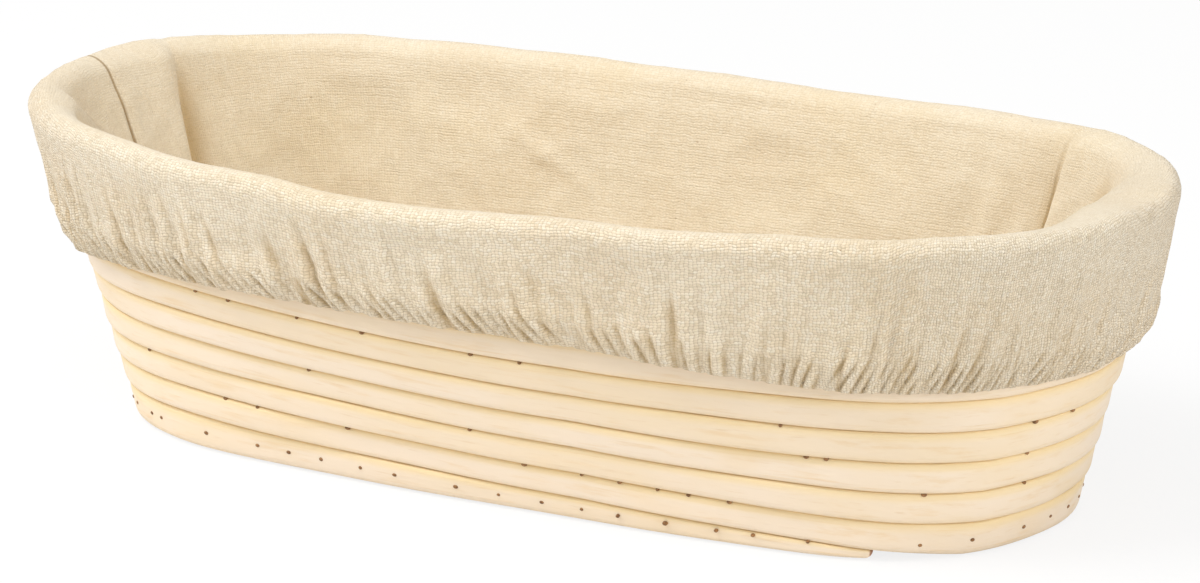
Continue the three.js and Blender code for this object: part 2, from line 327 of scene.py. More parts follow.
wall_start = LOWER_TIP * LOWER_RAMP
wall_end = TIGHT_COURSES - 1 + UPPER_START + UPPER_TIP * UPPER_RAMP
wall_turns = end_stations(wall_start, wall_end, WALL_STATIONS, WALL_ROUNDING)
across, up = superellipse(WALL_SIDES, WALL_POWER)
middle, face = (column[:, None] for column in wall_course(wall_turns))
shrink = rounded_ends(wall_turns, WALL_ROUNDING)
share = (LOWER_END_SHARE - wall_turns)[:, None]
rise = face / 2 * up * shrink
offset = (across * shrink - 1) * CANE / 2 - rise * (COURSE_SET + LEAN * lean(share, middle))
offset = offset + (1 + across) / 2 * stand_out(share, middle)
wall_points = point_at(share, offset, shift_courses(share, middle + rise))
wall = cane_piece("wall_winding", wall_points, wall_turns, WALL_TURN_LENGTH, up)
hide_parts("wall_cane")
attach(wall, "basket")

# Base cane and core.
foot_distance = FOOT[1] - FOOT[2]
base_limit = foot_distance - CANE - BASE_CLEARANCE
inner_loop = LENS + CANE / 2
outer_loop = base_limit - CANE / 2
base_loops = math.floor((outer_loop - inner_loop) / (CANE + COURSE_GAP)) + 1
base_pitch = (outer_loop - inner_loop) / (base_loops - 1)
PULLED_FROM = 12.0


def base_point(share, distance, z):
    """A point of the base, by its distance from the base's middle line; outer loops follow the wall."""
    place, out, _ = look_up(FOOT_TABLE, share)
    pull = left_pull(share) * smooth(distance, PULLED_FROM, base_limit)
    flat = place + out * (distance - foot_distance + pull)[..., None]
    return np.concatenate([flat, z[..., None]], -1)


base_first = BASE_START + (1 - BASE_TIP) * BASE_RAMP
base_last = BASE_START + base_loops + BASE_TIP * BASE_RAMP
base_turns = end_stations(base_first, base_last, BASE_STATIONS, BASE_ROUNDING)
loop = np.floor(base_turns - BASE_START)
along = base_turns - BASE_START - loop
centre = inner_loop + base_pitch * (loop - 1 + np.clip(along / BASE_RAMP, 0, 1))
wide = (base_pitch - SEEN_GAP) / 2
inner = np.maximum(centre, inner_loop) - wide
outer = np.minimum(centre + wide, base_limit)
across, up = superellipse(BASE_SIDES, BASE_POWER)
shrink = rounded_ends(base_turns, BASE_ROUNDING)
distance = ((inner + outer) / 2)[:, None] + ((outer - inner) / 2)[:, None] * across * shrink
share = np.broadcast_to((LOWER_END_SHARE - base_turns)[:, None], distance.shape)
base_points = base_point(share, distance, BASE_HEIGHT / 2 * (1 + up * shrink))
base = cane_piece("base_winding", base_points, base_turns, BASE_TURN_LENGTH, across)
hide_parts("base_cane")
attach(base, "basket")

core_low, core_high = (np.array(corner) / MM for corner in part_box("base_core"))
core_length = core_high[0] - core_low[0]
core_turns = end_stations(0.0, 1.0, CORE_STATIONS, CORE_ROUNDING)
core_x = (core_low[0] + core_length * core_turns)[:, None]
shrink = rounded_ends(core_turns, CORE_ROUNDING)
core_bow = np.sqrt(np.clip(1 - (core_x / (FOOT[0] - foot_distance)) ** 2, 0, 1))
core_y = (LENS + FOOT[2] * core_bow - CORE_GAP) * across * shrink
core_z = BASE_HEIGHT / 2 * (1 + up * shrink)
core_points = np.stack([np.broadcast_to(core_x, core_y.shape), core_y, core_z], -1)
core = cane_piece("base_core_cane", core_points, core_turns, core_length, across)
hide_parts("base_core")
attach(core, "basket")

# Nails: a row along the lowest course, by share, and scattered heads in the grooves, by share and course
# below. Those that the photograph doesn't show are spread at random.
FOOT_NAIL_Z, FOOT_NAIL_PROUD = 3.4, 0.04
GROOVE_NAIL_DROP, GROOVE_NAIL_SINK = 0.25, 0.4
NAIL_SIDES = 10
# Rows of a nail's dome: part of its radius, and how far out.
NAIL_ROWS = ((1.0, -0.5), (1.0, 0.02), (0.84, 0.14), (0.48, 0.21))
NAIL_CROWN = 0.23
NAIL_RADII, NAIL_STRETCHES = (0.38, 0.52), (1.0, 1.5)
BACK_NAIL_PITCH, BACK_NAIL_STRAY, BACK_GROOVE_NAILS = 0.0155, 0.004, 34
foot_nails = [0.654, 0.675, 0.686, 0.697, 0.710, 0.721, 0.740, 0.753, 0.766, 0.778, 0.789, 0.803, 0.818,
              0.829, 0.847, 0.899, 0.927, 0.960, 0.982, 0.0]
groove_nails = [(0.664, 5), (0.676, 5), (0.699, 5), (0.719, 5), (0.751, 5), (0.765, 5), (0.699, 3),
                (0.666, 1), (0.678, 1), (0.708, 1), (0.747, 2), (0.762, 1), (0.779, 1), (0.790, 1),
                (0.801, 1), (0.810, 1), (0.822, 1), (0.838, 4), (0.846, 3), (0.853, 3), (0.949, 3),
                (0.974, 3), (0.949, 2), (0.952, 1), (0.897, 2)]
rng = np.random.default_rng(11)
back_row = np.arange(0.02, 0.64, BACK_NAIL_PITCH)
foot_nails += list(back_row + rng.uniform(-BACK_NAIL_STRAY, BACK_NAIL_STRAY, len(back_row)))
back_grooves = rng.uniform(0.01, 0.63, BACK_GROOVE_NAILS)
groove_nails += [(place, int(rng.integers(1, 6))) for place in back_grooves]


def groove_place(share, number):
    """Height of the groove above a course, and how far the two courses beside it stand out."""
    along = np.mod(LOWER_END_SHARE - share, 1.0)
    below, _ = wall_course(np.array(number + along))
    above, _ = wall_course(np.array(number + 1 + along))
    return float(below + above) / 2, float(stand_out(share, below) + stand_out(share, above)) / 2


def foot_place(share, z):
    """How far the lowest course stands out at a height, also where it rides over the scarfed end."""
    along = np.mod(LOWER_END_SHARE - share, 1.0)
    level, _ = wall_course(np.array(along + 1 if along < LOWER_RAMP else along))
    return float(stand_out(share, level)) - (z - float(level)) * COURSE_SET


nail_places = [(place, FOOT_NAIL_Z, FOOT_NAIL_PROUD + foot_place(place, FOOT_NAIL_Z)) for place in foot_nails]
for place, number in groove_nails:
    level, proud = groove_place(place, number)
    nail_places.append((place, level - GROOVE_NAIL_DROP, proud - GROOVE_NAIL_SINK))
dome_angles = np.arange(NAIL_SIDES) / NAIL_SIDES * TAU
nail_verts, nail_faces = [], []
for place, z, depth in nail_places:
    place, z = np.array(place), np.array(shift_courses(np.array(place), np.array(z)))
    normal = outward(place, z)
    side = np.cross([0.0, 0.0, 1.0], normal)
    side /= np.linalg.norm(side)
    upright = np.cross(normal, side)
    middle = point_at(place, depth, z)
    radius = rng.uniform(*NAIL_RADII)
    stretch = rng.uniform(*NAIL_STRETCHES)
    first = len(nail_verts)
    for spread, out in NAIL_ROWS:
        reach = radius * spread
        for angle in dome_angles:
            nail_verts.append(middle + normal * out + side * reach * stretch * math.cos(angle)
                              + upright * reach * math.sin(angle))
    crown = len(nail_verts)
    nail_verts.append(middle + normal * NAIL_CROWN)
    for lower in range(first, crown - NAIL_SIDES, NAIL_SIDES):
        upper = lower + NAIL_SIDES
        for j in range(NAIL_SIDES):
            k = (j + 1) % NAIL_SIDES
            nail_faces.append([lower + j, lower + k, upper + k, upper + j])
    top = crown - NAIL_SIDES
    nail_faces += [[top + j, top + (j + 1) % NAIL_SIDES, crown] for j in range(NAIL_SIDES)]
nails = build("nails", nail_verts, nail_faces)
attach(nails, "basket")

# Linen liner: one cloth from the floor up the wall, over the rim and down to the gathered hem.
CLOTH_HALF = 0.35
CLOTH_LAY = 0.55
CLOTH_TURN = 700.0
BAG = -CANE - CLOTH_LAY - CLOTH_HALF
SKIRT = CLOTH_LAY + CLOTH_HALF
CASING = CLOTH_HALF
CORNER_EASE, BAG_EASE, NECK_EASE = 0.3, 0.15, 0.35
RIM_Z = WALL_HEIGHT - CANE / 2
ROLL_RADIUS = ROLL + CLOTH_HALF
COARSE, MIDDLE, FINE = 300, 600, 1800
WRINKLES, STREAKS, GATHERS = 90, 150, 270
GATHER_HEIGHTS = (0.95, 0.8, 0.95)
# Depth of the painted shade in the valleys of the wrinkles, the streaks and the gathers.
GATHER_SHADES = (0.4, 0.45, 0.85)
GATHER_WANDER = 0.14
BAG_SLACK, BAG_WAVE, BAG_CREASES = 0.45, 0.8, 0.6
ROLL_WAVE, ROLL_CREASES, ROLL_DEEPEST = 0.22, 0.16, -0.1
SKIRT_WAVE, SKIRT_CREASES, HEM_BULGE = 0.30, 0.45, 0.4
FLOOR_SLACK, FLOOR_SPAN = 0.25, 300.0
SCALLOP, SCALLOP_REACH, JUST_ABOVE = 0.25, 6.0, 0.01
CORNER_ROWS, BAG_ROWS, ROLL_ROWS = 6, 31, 15

hem_height = around([
    (0.57, 45.6), (0.63, 47.2), (0.69, 48.2), (0.74, 48.0), (0.79, 47.4), (0.825, 45.2), (0.85, 44.4),
    (0.88, 44.4), (0.92, 44.3), (0.99, 43.8), (0.1, 45.0), (0.25, 46.0), (0.4, 45.4), (0.5, 44.8)], 0.01)
billow_rim = around([(0.0, 0.2), (0.1, 0.4), (0.25, 0.4), (0.42, 1.6), (0.5, 1.2), (0.56, 1.7), (0.62, 0.9),
                     (0.8, 0.3)], 0.02)
billow_mid = around([(0.0, 1.2), (0.06, 1.2), (0.15, 1.2), (0.3, 1.3), (0.42, 1.5), (0.5, 1.5), (0.58, 1.4),
                     (0.7, 1.0), (0.85, 1.0), (0.94, 1.2)], 0.02)
billow_low = around([(0.0, 0.0), (0.15, 0.5), (0.3, 0.6), (0.42, 0.7), (0.5, 0.7), (0.58, 0.6), (0.7, 0.4),
                     (0.85, 0.3), (0.94, 0.0)], 0.02)
hem_depth = around([(0.0, 0.55), (0.06, 0.6), (0.2, 1.0), (0.5, 0.9), (0.58, 0.9), (0.64, 1.1), (0.8, 1.0),
                    (0.9, 0.85), (0.95, 0.6)], 0.02)
streak_top = around([(0.5, 26.0), (0.6, 27.0), (0.72, 25.0), (0.8, 20.0), (0.95, 18.0), (0.2, 21.0)], 0.02)
slant = around([(0.5, 1.0), (0.6, 1.0), (0.78, 0.8), (0.82, 0.0), (0.86, -0.8), (0.95, -1.0), (0.05, -1.0),
                (0.22, -0.7), (0.25, 0.0), (0.28, 0.7), (0.4, 1.0)], 0.012)
end_slack = around([(0.905, 0.0), (0.935, 2.0), (0.955, 6.0), (0.98, 9.2), (0.0, 10.0), (0.02, 9.2),
                    (0.04, 7.2), (0.065, 3.6), (0.10, 0.0), (0.5, 0.0)], 0.012)
wall_wave = ripple(21, 16, (3, 22), (0.4, 2.4))
wall_crease = ripple(22, 14, (8, 46), (0.8, 5.0))
skirt_wave = ripple(31, 16, (4, 26), (0.2, 1.6))
skirt_crease = ripple(33, 16, (16, 70), (0.3, 2.2))
gather_size = ripple(35, 24, (20, 120), (0.0, 1.0))
gather_drift = ripple(36, 20, (6, 40), (0.0, 0.6))
floor_wave = ripple(41, 12, (1, 5), (0.3, 1.2))


def slanted(share, slope, level):
    """A line up the wall: its place at a level, and how far it shifts with each millimetre."""
    return lambda z: share + slope * (z - level)


left_crease = slanted(0.449, -0.0002, 60)
right_crease = slanted(0.1275, -0.0001, 60)
front_crease = slanted(0.872, 0.0, 60)
left_dart = slanted(0.4915, 0.00005, 62)
right_dart = slanted(0.9915, 0.00005, 62)

# Folds past a line: the line, the height, how soon the fold rises and how far it fades, in shares of a turn.
# A minus sign puts it on the side where the share falls.
FOLDS = (
    (left_crease, 6.6, 0.0035, 0.030),
    (left_crease, 1.8, 0.016, -0.035),
    (right_crease, 5.0, 0.003, -0.026),
    (right_crease, 1.6, 0.014, 0.030),
    (front_crease, 4.6, 0.004, 0.028),
    (left_dart, 0.9, 0.0014, 0.016),
    (left_dart, 1.8, 0.0014, -0.016),
    (right_dart, 0.9, 0.0014, 0.016),
    (right_dart, 1.8, 0.0014, -0.016),
)
DROOP_HEIGHT, DROOP_SHARP, DROOP_WIDE = 3.6, 0.006, 0.038
# Tucks of the roll at the left dart and the left crease: share, width, depth.
ROLL_TUCKS = ((left_dart(62), 0.0025, 0.35), (left_crease(70), 0.004, 0.3))
# Small puckers of the far wall: share, width, level, reach up and down, height.
PUCKERS = ((0.153, 0.005, 56.0, 8.0, 1.2), (0.168, 0.005, 57.0, 7.0, 0.9))
# A soft ridge slants down the far wall from the first (share, level) to the second.
RIDGE_TOP, RIDGE_END, RIDGE_WIDTH = (0.308, 59.3), (0.2852, 49.5), 1.8


def ridges(field):
    """Sharp crests from a smooth field."""
    return np.exp(-np.abs(field) * 2.2)


def fold(share, line, sharp, wide):
    """Cloth that stands off past a sharp line, on the side where the share grows if wide is positive."""
    away = apart(share, line) * np.sign(wide)
    return np.where(away > 0, (1 - np.exp(-np.abs(away) / sharp)) * np.exp(-((away / wide) ** 2)), 0.0)


def left_droop(z):
    """Where the cloth droops inwards from the rim at the front of the left end, lower towards the dart."""
    return 0.515 + 0.003 * np.clip(z - 62, -3, 12)


def crease_swell(share, z):
    """Slack end panels that stand off past the creases, past the darts and past the droop."""
    swell = sum(height * fold(share, line(z), sharp, wide) for line, height, sharp, wide in FOLDS)
    swell = swell * smooth(z, 18, 40) * (1 - 0.5 * smooth(z, 52, 73))
    droop = DROOP_HEIGHT * fold(share, left_droop(z), DROOP_SHARP, DROOP_WIDE)
    return swell + droop * smooth(z, 44, 64)


def bag_swell(share, z):
    """How far the cloth stands off the wall inside."""
    up = smooth(z, 14.0, 30.0) * (1 - smooth(z, 66.0, 73.0))
    swell = BAG_SLACK * up * (1 + BAG_WAVE * wall_wave(share, z))
    swell = swell + BAG_CREASES * up * ridges(wall_crease(share, z))
    for place, width, level, reach, height in PUCKERS:
        swell = swell + height * bump(share, place, width) * at_level(z, level, reach)
    along = (share - RIDGE_TOP[0]) / (RIDGE_END[0] - RIDGE_TOP[0])
    level = RIDGE_TOP[1] + (RIDGE_END[1] - RIDGE_TOP[1]) * along
    swell = swell + at_level(z, level, RIDGE_WIDTH) * smooth(along, -0.2, 0.3) * smooth(along, 1.3, 0.8)
    return np.maximum(swell, 0.0) + crease_swell(share, z) + end_slack(share) * smooth(z, 26, 70)


def roll_swell(share, angle):
    """Unevenness of the cloth over the rim, drawn in at the left dart and the left crease."""
    swell = ROLL_WAVE * wall_wave(share, 70.0 + 4 * angle)
    swell = swell + ROLL_CREASES * ridges(wall_crease(share, 68.0 + 5 * angle))
    for place, width, depth in ROLL_TUCKS:
        swell = swell - depth * bump(share, place, width)
    return np.maximum(swell, ROLL_DEEPEST)


def pleats(count, place, drift):
    """Rounded crests from 0 to 1, count of them round the turn."""
    return np.abs(np.cos(math.pi * (count * place + drift)))


def gather_parts(share, above):
    """Heights from 0 to 1 of the wrinkles, the streaks and the gathers, with how strong each is there."""
    lean = slant(share) * above
    drift = gather_drift(share, 0.0)
    wrinkle = pleats(WRINKLES, share + 0.0005 * lean, 0.3 * drift) ** 0.8
    wrinkle_size = np.clip(0.75 + 0.5 * gather_size(share + 0.3, 0.0), 0.1, 1.6) * hem_depth(share)
    wrinkle_size = wrinkle_size * (1 - smooth(above, 8.0, 27.0)) * (0.6 + 0.4 * smooth(above, 2.0, 8.0))
    streak = pleats(STREAKS, share + 0.0004 * lean, 0.25 * gather_drift(share + 0.4, 0.0))
    streak_size = np.clip(0.7 + 0.55 * gather_size(share + 0.6, 0.0), 0.0, 1.7) * hem_depth(share)
    streak_size = streak_size * (1 - smooth(above, 9.0, streak_top(share)))
    gather = pleats(GATHERS, share + 0.0010 * lean, GATHER_WANDER * drift) ** 0.8
    gather_depth = np.clip(0.95 + 0.3 * gather_size(share, 0.0), 0.3, 1.5) * (1 - smooth(above, 3.5, 9.5))
    return (wrinkle, wrinkle_size), (streak, streak_size), (gather, gather_depth)


def skirt_swell(share, z):
    """How far the cloth stands off the wall outside: its billow, its wrinkles and its gathers."""
    hem = hem_height(share)
    above = np.clip(z - hem, 0.0, None)
    part = np.clip(above / (RIM_Z - hem), 0.0, 1.0)
    body = billow_low(share) * (1 - part) ** 2 + 2 * billow_mid(share) * part * (1 - part)
    body = body + billow_rim(share) * part ** 2
    swell = body * (0.6 + 0.4 * smooth(above, 0.0, 6.0))
    fade = 1 - smooth(part, 0.72, 1.0)
    uneven = SKIRT_WAVE * skirt_wave(share, z) + SKIRT_CREASES * ridges(skirt_crease(share, z))
    swell = swell + fade * uneven
    for (crest, size), height in zip(gather_parts(share, above), GATHER_HEIGHTS):
        swell = swell + height * size * crest
    swell = swell + HEM_BULGE * smooth(above, 0.0, 2.0) * (1 - smooth(above, 6.5, 11.0))
    return np.maximum(swell, 0.0)


# Rings of the cloth, each at one step of its own stretch.
def floor_ring(place, part):
    edge = point_at(place, BAG - CORNER + CLOTH_HALF, FLOOR_Z + CLOTH_HALF)
    core = pair_at(place, FOOT_TABLE[0], FOOT_TABLE[4])
    flat = core + (edge[:, :2] - core) * part
    wave = FLOOR_SLACK * (1 + floor_wave(flat[:, 0] / FLOOR_SPAN, flat[:, 1])) * smooth(part, 1.0, 0.7)
    return np.concatenate([flat, (FLOOR_Z + CLOTH_HALF + wave)[:, None]], -1)


def corner_ring(place, angle):
    radius = CORNER - CORNER_EASE - bag_swell(place, FLOOR_Z + CORNER)
    rise = (CORNER - CORNER_EASE) * math.sin(angle)
    return point_at(place, BAG - CORNER + radius * math.cos(angle), FLOOR_Z + CORNER + rise)


def bag_ring(place, z):
    ease = BAG_EASE + NECK_EASE * smooth(z, RIM_Z - 10, RIM_Z)
    return point_at(place, BAG - ease - bag_swell(place, z), z)


def roll_ring(place, angle):
    radius = ROLL_RADIUS + roll_swell(place, angle) * math.sin(angle) ** 0.5
    outer = 1 - angle / math.pi
    reach = radius * math.cos(angle) + billow_rim(place) * outer ** 2
    reach = reach - crease_swell(place, RIM_Z) * smooth(angle, 1.7, math.pi)
    reach = reach - end_slack(place) * smooth(angle, 1.4, 2.6)
    level = BASE_HEIGHT + (HEM - BASE_HEIGHT) * outer
    return point_at(place, -CANE / 2 + reach, RIM_Z + radius * math.sin(angle), level)


def skirt_ring(place, part):
    z = RIM_Z + (hem_height(place) - RIM_Z) * part
    narrow = (ROLL_RADIUS - CANE / 2 - SKIRT) * smooth(part, 0.3, 0.0)
    return point_at(place, SKIRT + narrow + skirt_swell(place, z), z, HEM)


def hem_ring(place, step):
    drop, inset = step
    hem = hem_height(place)
    out = SKIRT + skirt_swell(place, hem + JUST_ABOVE)
    scallop = SCALLOP * np.cos(TAU * (GATHERS * place + GATHER_WANDER * gather_drift(place, 0.0)))
    z = hem - drop + scallop * (1 - abs(drop) / SCALLOP_REACH)
    return point_at(place, np.maximum(out - inset, CASING), z, HEM)


FLOOR_PARTS = (0.02, 0.1, 0.22, 0.36, 0.5, 0.62, 0.74, 0.86, 1.0)
SKIRT_PARTS = (*np.linspace(0, 0.56, 13)[1:], *np.linspace(0.56, 1.0, 15)[1:])
# Drop below the hem line and inset: the last two rows are the casing, folded up against the wall.
HEM_ROWS = ((0.45, 0.25), (0.7, 0.75), (0.5, 1.3), (-1.0, 9.0), (-6.4, 9.0))
rows = []


def add_rows(count, ring, steps):
    """Adds a ring of count points for each step, and gives the number of rings so far."""
    place = np.arange(count) / count
    rows.extend(ring(place, step) for step in steps)
    return len(rows)


corner_row = add_rows(COARSE, floor_ring, FLOOR_PARTS)
bag_row = add_rows(MIDDLE, corner_ring, np.linspace(-math.pi / 2, 0, CORNER_ROWS + 2)[1:-1])
roll_row = add_rows(MIDDLE, bag_ring, np.linspace(FLOOR_Z + CORNER, RIM_Z, BAG_ROWS + 1)[:-1])
skirt_row = add_rows(MIDDLE, roll_ring, np.linspace(math.pi, 0, ROLL_ROWS))
add_rows(FINE, skirt_ring, SKIRT_PARTS)
add_rows(FINE, hem_ring, HEM_ROWS)
starts = np.concatenate([[0], np.cumsum([len(row) for row in rows])])

cloth_faces = []
for i in range(COARSE // 2):
    corner = [i, i + 1, COARSE - i - 1, (COARSE - i) % COARSE]
    cloth_faces.append(list(dict.fromkeys(corner)))
cap_faces = len(cloth_faces)
for lower, upper, low, high in zip(rows[:-1], rows[1:], starts[:-1], starts[1:]):
    split = len(upper) // len(lower)
    for i in range(len(lower)):
        far = [high + (split * i + j) % len(upper) for j in range(split + 1)]
        cloth_faces.append([*far, low + (i + 1) % len(lower), low + i])
points = np.concatenate(rows)
cloth = build("liner_cloth", points, cloth_faces)

# Maps of the cloth: its threads in metres, its baked picture, its painted shadow lines at the seams and its
# painted shade in the hollows.
shares = np.concatenate([np.arange(len(row)) / len(row) for row in rows])
drops, threads = [0.0], [np.zeros(COARSE)]
for lower, upper in zip(rows[:-1], rows[1:]):
    step = np.linalg.norm(lower[:: len(lower) // COARSE] - upper[:: len(upper) // COARSE], axis=1).mean()
    drops.append(drops[-1] + step)
    spot = np.arange(len(upper)) * len(lower) / len(upper)
    left = spot.astype(int)
    right = (left + 1) % len(lower)
    near, far = 1 - (spot - left), spot - left
    under = lower[left] * near[:, None] + lower[right] * far[:, None]
    length = np.linalg.norm(upper - under, axis=1)
    threads.append(threads[-1][left] * near + threads[-1][right] * far + length)
fall = np.concatenate([np.full(len(row), drop) for row, drop in zip(rows, drops)])
corner_vertex = np.zeros(len(cloth.data.loops), int)
cloth.data.loops.foreach_get("vertex_index", corner_vertex)
sizes = np.zeros(len(cloth.data.polygons), int)
cloth.data.polygons.foreach_get("loop_total", sizes)
face_of = np.repeat(np.arange(len(sizes)), sizes)
turn = shares[corner_vertex]
high_share = np.zeros(len(sizes))
np.maximum.at(high_share, face_of, turn)
turn = np.where((high_share[face_of] > 0.75) & (turn < 0.25), turn + 1, turn)
on_floor = np.ones(len(sizes), bool)
np.logical_and.at(on_floor, face_of, corner_vertex < starts[corner_row])
on_floor = on_floor[face_of]
corner_x, corner_y = points[corner_vertex, 0], points[corner_vertex, 1]
around_mm = np.where(on_floor, corner_x, turn * CLOTH_TURN)
down_mm = np.where(on_floor, corner_y, np.concatenate(threads)[corner_vertex])
add_uv(cloth, "cloth", np.stack([around_mm, down_mm], -1) * MM)

# In the baked picture, the middle of the floor lies below the rest of the cloth.
CAP_SPAN = 240.0
in_cap = face_of < cap_faces
bake_u = np.where(in_cap, 0.5 + corner_x / CAP_SPAN, 0.005 + 0.99 * turn / (1 + 1 / COARSE))
bake_v = np.where(in_cap, 0.012 + corner_y / CAP_SPAN, 0.03 + 0.965 * fall[corner_vertex] / drops[-1])
add_uv(cloth, "OFBake", np.stack([bake_u, bake_v], -1))

# Painted shadow lines along the sewn darts, and the dark painted shadow line of the right crease, which lies
# just beside its fold.
LINE_REACH, LINE_CLIP = 0.02, 9.0
CREASE_LINE_ASIDE, CREASE_LINE_SHADE = 0.002, 0.7
# Tops of the left line, of the right line and of the shades, in rows past the start of the roll.
LINE_TOPS = (9, -3, 6)
levels = points[:, 2]
left_away = apart(shares, left_dart(levels))
right_away = apart(shares, right_dart(levels))
crease_away = apart(shares, right_crease(levels) + CREASE_LINE_ASIDE)
on_left = np.abs(left_away) < 0.25
by_crease = np.abs(crease_away) < LINE_REACH
shadow_line_gap = np.where(on_left, left_away, -right_away)
shadow_line_gap = np.where(np.abs(crease_away) < 2 * LINE_REACH, crease_away, shadow_line_gap) * CLOTH_TURN
add_values(cloth, "shadow_line", np.clip(shadow_line_gap, -LINE_CLIP, LINE_CLIP))
order = np.arange(len(shares))
left_top, right_top, shade_top = (starts[roll_row + past] for past in LINE_TOPS)
top = np.where(by_crease, shade_top, np.where(on_left, left_top, right_top))
fold_shadow = 1.0 * ((np.abs(left_away) < LINE_REACH) | (np.abs(right_away) < LINE_REACH))
fold_shadow += CREASE_LINE_SHADE * by_crease * smooth(levels, 80.0, 62.0)
add_values(cloth, "fold_shadow", fold_shadow * ((order >= starts[bag_row]) & (order < top)))

# Painted shade beside the creases: line, side and reach. Patches of painted shade: place, width, level, reach
# and depth.
CREASE_SHADE, CREASE_SHARP = 1.2, 0.0012
CREASE_SHADES = ((left_crease, -1, 0.012), (right_crease, 1, 0.005), (front_crease, -1, 0.005))
SHADED_PATCHES = (
    (0.090, 0.011, 68.0, 8.0, 0.6),
    (left_droop(levels - 3.2) + 0.001, 0.006, 69.0, 6.0, 0.8),
    (0.2175, 0.008, 50.0, 2.5, 0.35),
)


def crease_shade(line, side, reach):
    """Painted shade that is deepest in a crease and fades slowly on one side of it, and towards the rim."""
    away = apart(shares, line(levels)) * side
    depth = np.exp(-np.abs(away) / np.where(away > 0, reach, CREASE_SHARP))
    return CREASE_SHADE * depth * (0.25 + 0.75 * smooth(levels, 80.0, 58.0))


shade = sum(crease_shade(*crease) for crease in CREASE_SHADES)
for place, width, level, reach, depth in SHADED_PATCHES:
    shade = shade + depth * bump(shares, place, width) * at_level(levels, level, reach)
painted_shade = np.where((order >= starts[bag_row]) & (order < shade_top), shade, 0.0)
# Painted shade in the valleys of the skirt's wrinkles, streaks and gathers.
skirt_start = starts[skirt_row]
skirt_share = shares[skirt_start:]
skirt_part = np.repeat([*SKIRT_PARTS, *[1.0] * len(HEM_ROWS)], FINE)
skirt_above = (RIM_Z - hem_height(skirt_share)) * (1 - skirt_part)
for (crest, size), deep in zip(gather_parts(skirt_share, skirt_above), GATHER_SHADES):
    painted_shade[skirt_start:] += deep * size * (1 - crest) ** 1.3
add_values(cloth, "painted_shade", painted_shade)
over_rim = np.interp(order, [starts[roll_row], skirt_start], [0.0, 1.0])
add_values(cloth, "outside", smooth(over_rim, 0.35, 0.8))
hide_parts("liner_bag")
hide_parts("liner_skirt")
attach(cloth, "liner")

# Elastic band standing in the casing: a six-sided section of (height above the hem, part of its depth).
BAND_STEPS, BAND_DEPTH, BAND_GAP = 720, 0.42, 0.05
BAND_RIPPLE, BAND_RIPPLES = 0.02, 180
BAND_SECTION = ((1.8, 0.25), (1.8, 0.85), (3.7, 0.95), (5.6, 0.85), (5.6, 0.25), (3.7, 0.15))
band_places = np.arange(BAND_STEPS) / BAND_STEPS
band_inner = CASING + BAND_GAP + BAND_RIPPLE * np.cos(TAU * BAND_RIPPLES * band_places)
band_hem = hem_height(band_places)
band_points = np.stack([point_at(band_places, band_inner + BAND_DEPTH * out, band_hem + low, HEM)
                        for low, out in BAND_SECTION], 1)
quads, ring, side = tube_faces(BAND_STEPS, len(BAND_SECTION), closed=True)
band = build("elastic_band", band_points.reshape(-1, 3), quads.tolist())
band_uv = np.stack([0.01 + 0.98 * ring / BAND_STEPS, 0.05 + 0.9 * side / len(BAND_SECTION)], -1)
add_uv(band, "OFBake", band_uv.reshape(-1, 2))
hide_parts("hem_elastic")
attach(band, "liner")


# Materials.
def new_material(name):
    material = bpy.data.materials.new(name)
    material.use_nodes = True
    return material, material.node_tree.nodes, material.node_tree.links


def srgb(*channels):
    return [((c / 255 + 0.055) / 1.055) ** 2.4 if c > 10 else c / 255 / 12.92 for c in channels] + [1.0]


class Nodes:
    """Short helpers to write a node tree."""

    def __init__(self, name):
        self.material, self.nodes, self.links = new_material(name)
        self.shader = self.nodes["Principled BSDF"]

    def feed(self, socket, value):
        if hasattr(value, "is_output"):
            self.links.new(value, socket)
        else:
            socket.default_value = value

    def shade(self, name, value):
        self.feed(self.shader.inputs[name], value)

    def add(self, kind, inputs):
        """A new node with its inputs, by name or number, fed or set."""
        node = self.nodes.new("ShaderNode" + kind)
        for key, value in inputs.items():
            self.feed(node.inputs[key], value)
        return node

    def math(self, kind, a, b=0.0):
        node = self.add("Math", {0: a, 1: b})
        node.operation = kind
        return node.outputs[0]

    def ramp(self, value, low, high, to_low=0.0, to_high=1.0):
        limits = {"From Min": low, "From Max": high, "To Min": to_low, "To Max": to_high}
        node = self.add("MapRange", {"Value": value, **limits})
        node.interpolation_type = "SMOOTHSTEP"
        return node.outputs["Result"]

    def mix(self, part, a, b):
        node = self.add("Mix", {})
        node.data_type = "RGBA"
        for name, value in (("Factor", part), ("A", a), ("B", b)):
            self.feed(node.inputs[name], value)
        return node.outputs["Result"]

    def layers(self, colour, *layers):
        """A colour with others laid over it in turn, each as (how much of it shows, colour)."""
        for part, tint in layers:
            colour = self.mix(part, colour, tint)
        return colour

    def uv(self, name, *scale):
        node = self.add("UVMap", {})
        node.uv_map = name
        return self.scaled(node.outputs["UV"], (*scale, 1.0))

    def spot(self, *scale):
        return self.scaled(self.add("TexCoord", {}).outputs["Object"], scale)

    def scaled(self, vector, scale):
        node = self.add("VectorMath", {0: vector, 1: scale})
        node.operation = "MULTIPLY"
        return node.outputs["Vector"]

    def noise(self, vector, detail, rough):
        inputs = {"Vector": vector, "Scale": 1.0, "Detail": detail, "Roughness": rough}
        return self.add("TexNoise", inputs).outputs["Fac"]

    def value(self, name):
        node = self.add("Attribute", {})
        node.attribute_name = name
        return node.outputs["Fac"]

    def cell(self, across, down):
        place = self.add("CombineXYZ", {0: across, 1: down})
        node = self.add("TexWhiteNoise", {"Vector": place.outputs[0]})
        node.noise_dimensions = "2D"
        return node.outputs["Value"]

    def parts(self, vector):
        return self.add("SeparateXYZ", {0: vector}).outputs[:2]

    def bump(self, height, distance, strength, below=None):
        node = self.add("Bump", {"Height": height, "Distance": distance, "Strength": strength})
        if below is not None:
            self.links.new(below, node.inputs["Normal"])
        return node.outputs["Normal"]


